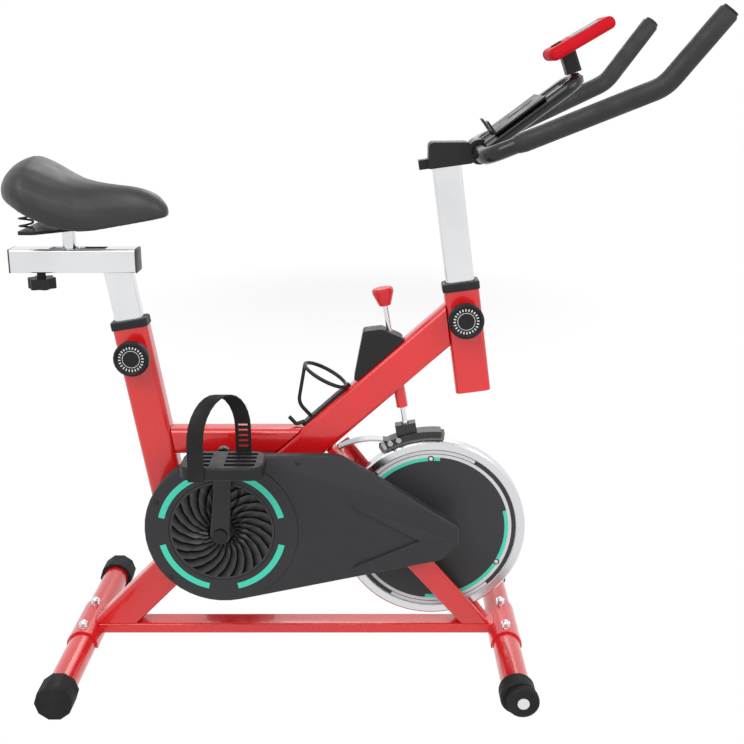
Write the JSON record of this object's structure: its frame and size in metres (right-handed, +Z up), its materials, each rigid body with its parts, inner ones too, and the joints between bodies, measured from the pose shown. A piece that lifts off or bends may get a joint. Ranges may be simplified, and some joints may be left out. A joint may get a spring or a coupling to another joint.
{
  "type": "indoor spin bike",
  "caption": "Indoor spin bike with a belt-driven flywheel, sprung saddle on a sliding post, horned handlebar with console, friction brake, toe-strap pedals and stabiliser feet.",
  "frame": {"origin": "middle of the footprint at floor level", "axes": "+X points forward to the flywheel and handlebar, +Y to the rider's left, +Z up"},
  "size_m": [1.1194, 0.5, 1.1117],
  "materials": {
    "red_paint": "gloss",
    "rubber": "matte",
    "black_plastic": "satin",
    "chrome": "polished",
    "steel": "brushed",
    "leather": "grained",
    "gloss_black": "gloss",
    "charcoal_plastic": "matte",
    "felt": "matte"
  },
  "bodies": {
    "frame": {"main_tube": "red_paint", "rear_leg": "red_paint", "seat_tube": "red_paint", "top_tube": "red_paint", "head_tube": "red_paint", "base_rail": "red_paint", "bottom_bracket": "red_paint", "fork": "red_paint", "rear_stabiliser": "red_paint", "front_stabiliser": "red_paint", "front_cap_right": "rubber", "front_cap_left": "rubber", "seat_collar": "black_plastic", "head_collar": "black_plastic", "guard_outer": "charcoal_plastic", "guard_inner": "black_plastic", "guard_vanes": "charcoal_plastic", "drive_belt": "rubber", "brake_housing": "black_plastic", "bottle_cage": "black_plastic"},
    "rear_cap_right": {"rear_cap_right": "rubber"},
    "rear_cap_left": {"rear_cap_left": "rubber"},
    "wheel_right": {"transport_wheel_right": "rubber"},
    "wheel_left": {"transport_wheel_left": "rubber"},
    "seat_post": {"seat_post": "chrome", "slide_housing": "chrome"},
    "saddle": {"seat_slider": "chrome", "saddle_frame": "black_plastic", "saddle_pan": "black_plastic", "saddle_pad": "leather", "saddle_spring_right": "steel", "saddle_spring_left": "steel"},
    "slider_knob": {"slider_knob": "black_plastic"},
    "seat_pin": {"seat_pin": "steel"},
    "seat_knob": {"seat_knob": "black_plastic"},
    "handlebar": {"handle_post": "chrome", "handle_clamp": "black_plastic", "handlebar": "gloss_black", "inner_bar": "gloss_black", "tablet_tray": "black_plastic", "console_bracket": "black_plastic", "console": "red_paint"},
    "console_button": {"console_button": "black_plastic"},
    "head_pin": {"head_pin": "steel"},
    "head_knob": {"head_knob": "black_plastic"},
    "crank": {"crank_axle": "steel", "crank_arm_right": "black_plastic", "crank_arm_left": "black_plastic", "drive_pulley": "black_plastic"},
    "flywheel": {"flywheel": "steel", "flywheel_axle": "steel"},
    "pedal_right": {"pedal_right": "black_plastic", "toe_strap_right": "rubber"},
    "pedal_left": {"pedal_left": "black_plastic", "toe_strap_left": "rubber"},
    "brake_rod": {"brake_rod": "chrome"},
    "tension_knob": {"tension_knob": "red_paint"},
    "brake_arm": {"brake_arm": "steel", "brake_pad": "felt"}
  },
  "joints": [
    {"name": "rear_cap_right_turn", "type": "hinge", "parent": "frame", "child": "rear_cap_right", "pos_m": [-0.46667, -0.2275, 0.03], "axis": [0, 1, 0], "continuous": true},
    {"name": "rear_cap_left_turn", "type": "hinge", "parent": "frame", "child": "rear_cap_left", "pos_m": [-0.46667, 0.2275, 0.03], "axis": [0, 1, 0], "continuous": true},
    {"name": "wheel_right_roll", "type": "hinge", "parent": "frame", "child": "wheel_right", "pos_m": [0.30033, -0.241, 0.03], "axis": [0, 1, 0], "continuous": true},
    {"name": "wheel_left_roll", "type": "hinge", "parent": "frame", "child": "wheel_left", "pos_m": [0.30033, 0.241, 0.03], "axis": [0, 1, 0], "continuous": true},
    {"name": "seat_height", "type": "slide", "parent": "frame", "child": "seat_post", "axis": [-0.165, 0, 0.9863], "range_m": [0, 0.12]},
    {"name": "saddle_fore_aft", "type": "slide", "parent": "seat_post", "child": "saddle", "axis": [1, 0, 0], "range_m": [-0.02, 0.05]},
    {"name": "slider_knob_turn", "type": "hinge", "parent": "saddle", "child": "slider_knob", "pos_m": [-0.50367, 0, 0.6875], "axis": [0, 0, 1], "continuous": true},
    {"name": "seat_pin_pull", "type": "slide", "parent": "frame", "child": "seat_pin", "axis": [0, -1, 0], "range_m": [0, 0.012], "stiffness_N_per_m": 600, "springref_m": -0.004},
    {"name": "seat_knob_turn", "type": "hinge", "parent": "seat_pin", "child": "seat_knob", "pos_m": [-0.34954, 0, 0.55862], "axis": [0, 1, 0], "continuous": true},
    {"name": "handle_height", "type": "slide", "parent": "frame", "child": "handlebar", "axis": [-0.1357, 0, 0.9907], "range_m": [0, 0.09]},
    {"name": "button_press", "type": "slide", "parent": "handlebar", "child": "console_button", "axis": [0.5, 0, -0.866], "range_m": [0, 0.0015], "stiffness_N_per_m": 400, "springref_m": -0.001},
    {"name": "head_pin_pull", "type": "slide", "parent": "frame", "child": "head_pin", "axis": [0, -1, 0], "range_m": [0, 0.012], "stiffness_N_per_m": 600, "springref_m": -0.004},
    {"name": "head_knob_turn", "type": "hinge", "parent": "head_pin", "child": "head_knob", "pos_m": [0.20964, 0, 0.62342], "axis": [0, 1, 0], "continuous": true},
    {"name": "flywheel_spin", "type": "hinge", "parent": "frame", "child": "flywheel", "pos_m": [0.16133, 0, 0.234], "axis": [0, 1, 0], "continuous": true},
    {"name": "crank_spin", "type": "hinge", "parent": "frame", "child": "crank", "pos_m": [-0.20467, 0, 0.262], "axis": [0, 1, 0], "continuous": true},
    {"name": "pedal_right_spin", "type": "hinge", "parent": "crank", "child": "pedal_right", "pos_m": [-0.19441, -0.1575, 0.40864], "axis": [0, 1, 0], "continuous": true},
    {"name": "pedal_left_spin", "type": "hinge", "parent": "crank", "child": "pedal_left", "pos_m": [-0.21492, 0.1575, 0.11536], "axis": [0, 1, 0], "continuous": true},
    {"name": "brake_push", "type": "slide", "parent": "frame", "child": "brake_rod", "axis": [0.1668, 0, -0.986], "range_m": [0, 0.0014], "stiffness_N_per_m": 3000, "springref_m": -0.002},
    {"name": "tension_turn", "type": "hinge", "parent": "brake_rod", "child": "tension_knob", "pos_m": [0.07353, 0, 0.652], "axis": [-0.1668, 0, 0.986], "continuous": true},
    {"name": "brake_arm_swing", "type": "hinge", "parent": "frame", "child": "brake_arm", "pos_m": [-0.00482, 0, 0.38534], "axis": [0, 1, 0], "range_deg": [0, 0.8]}
  ],
  "couplings": [
    {"joint": "crank_spin", "follows": "flywheel_spin", "ratio": 0.22727},
    {"joint": "brake_arm_swing", "follows": "brake_push", "rad_per_m": 8.2152}
  ]
}
